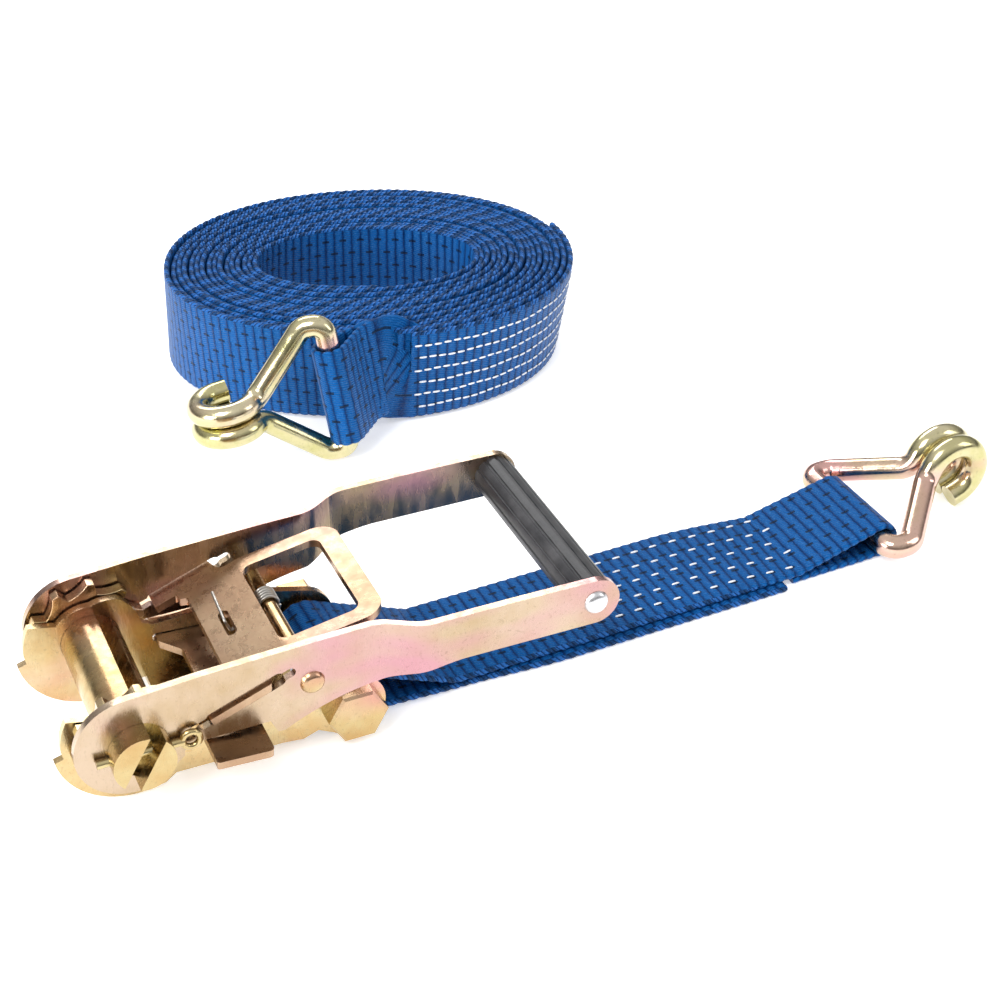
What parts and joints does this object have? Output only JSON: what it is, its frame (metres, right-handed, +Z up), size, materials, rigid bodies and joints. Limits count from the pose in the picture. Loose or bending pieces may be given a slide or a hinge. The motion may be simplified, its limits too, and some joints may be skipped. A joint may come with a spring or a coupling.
{
  "type": "ratchet tie down",
  "caption": "Ratchet tie down for loads: a ratchet with a short sewn strap and claw hook, and a long strap wound into a coil with its own claw hook.",
  "frame": {"origin": "middle of the set's box, on the surface that everything lies on", "axes": "+X from the ratchet spindle towards the short strap's hook, +Y from the ratchet towards the coil, +Z up"},
  "size_m": [0.4132, 0.3693, 0.0714],
  "materials": {
    "zinc_plate": "yellow-passivated zinc plate",
    "zinc_bar": "yellow-passivated zinc plate, smoother",
    "spring_steel": "drawn wire",
    "bright_steel": "bright zinc",
    "grip_plastic": "satin black",
    "blue_webbing": "woven polyester webbing"
  },
  "bodies": {
    "frame": {"frame_plate_left": "zinc_plate", "frame_plate_right": "zinc_plate", "floor_rivet_1": "zinc_bar", "floor_rivet_2": "zinc_bar", "strap_bolt": "zinc_bar", "strap_bolt_nut": "zinc_bar", "strap_bolt_sleeve": "zinc_bar", "frame_pawl_spring": "spring_steel"},
    "spindle": {"spindle_half_upper": "zinc_bar", "spindle_half_lower": "zinc_bar", "ratchet_wheel_left": "zinc_plate", "ratchet_wheel_right": "zinc_plate", "spindle_pin_left": "zinc_bar", "spindle_pin_right": "zinc_bar"},
    "handle": {"handle_plate_left": "zinc_plate", "handle_plate_right": "zinc_plate", "handle_cross_rod": "zinc_bar", "handle_grip": "grip_plastic", "grip_bolt": "bright_steel", "grip_bolt_nut": "bright_steel", "handle_pawl_spring": "spring_steel"},
    "handle_pawl": {"handle_pawl": "zinc_plate", "handle_pawl_spring_leg": "spring_steel"},
    "frame_pawl": {"frame_pawl": "zinc_plate"},
    "short_strap": {"short_strap": "blue_webbing"},
    "short_hook": {"short_hook": "zinc_bar"},
    "long_strap": {"long_strap_coil": "blue_webbing", "long_strap_tail": "blue_webbing"},
    "long_hook": {"long_hook": "zinc_bar"}
  },
  "joints": [
    {"name": "spindle_turn", "type": "hinge", "parent": "frame", "child": "spindle", "pos_m": [-0.17898, -0.13275, 0.0285], "axis": [0, 1, 0], "continuous": true},
    {"name": "handle_turn", "type": "hinge", "parent": "frame", "child": "handle", "pos_m": [-0.17898, -0.13275, 0.0285], "axis": [0, -1, 0], "range_deg": [0, 165]},
    {"name": "handle_pawl_slide", "type": "slide", "parent": "handle", "child": "handle_pawl", "axis": [0.9354, 0, 0.3535], "range_m": [0, 0.006], "stiffness_N_per_m": 600, "springref_m": -0.006},
    {"name": "frame_pawl_slide", "type": "slide", "parent": "frame", "child": "frame_pawl", "axis": [0.9982, 0, -0.0593], "range_m": [0, 0.0035], "stiffness_N_per_m": 800, "springref_m": -0.005},
    {"name": "short_strap_swing", "type": "hinge", "parent": "frame", "child": "short_strap", "pos_m": [-0.09748, -0.13275, 0.013], "axis": [0, -1, 0], "range_deg": [-45, 8]},
    {"name": "short_hook_swing", "type": "hinge", "parent": "short_strap", "child": "short_hook", "pos_m": [0.14089, -0.12484, 0.0084], "axis": [0.0332, -0.9995, 0], "range_deg": [-40, 60]},
    {"name": "long_strap_lift", "type": "slide", "parent": "frame", "child": "long_strap", "axis": [0, 0, 1], "range_m": [0, 0.15]},
    {"name": "long_hook_swing", "type": "hinge", "parent": "long_strap", "child": "long_hook", "pos_m": [-0.03688, 0.01555, 0.037], "axis": [-0.1157, 0.1109, 0.9871], "range_deg": [-25, 40]}
  ]
}
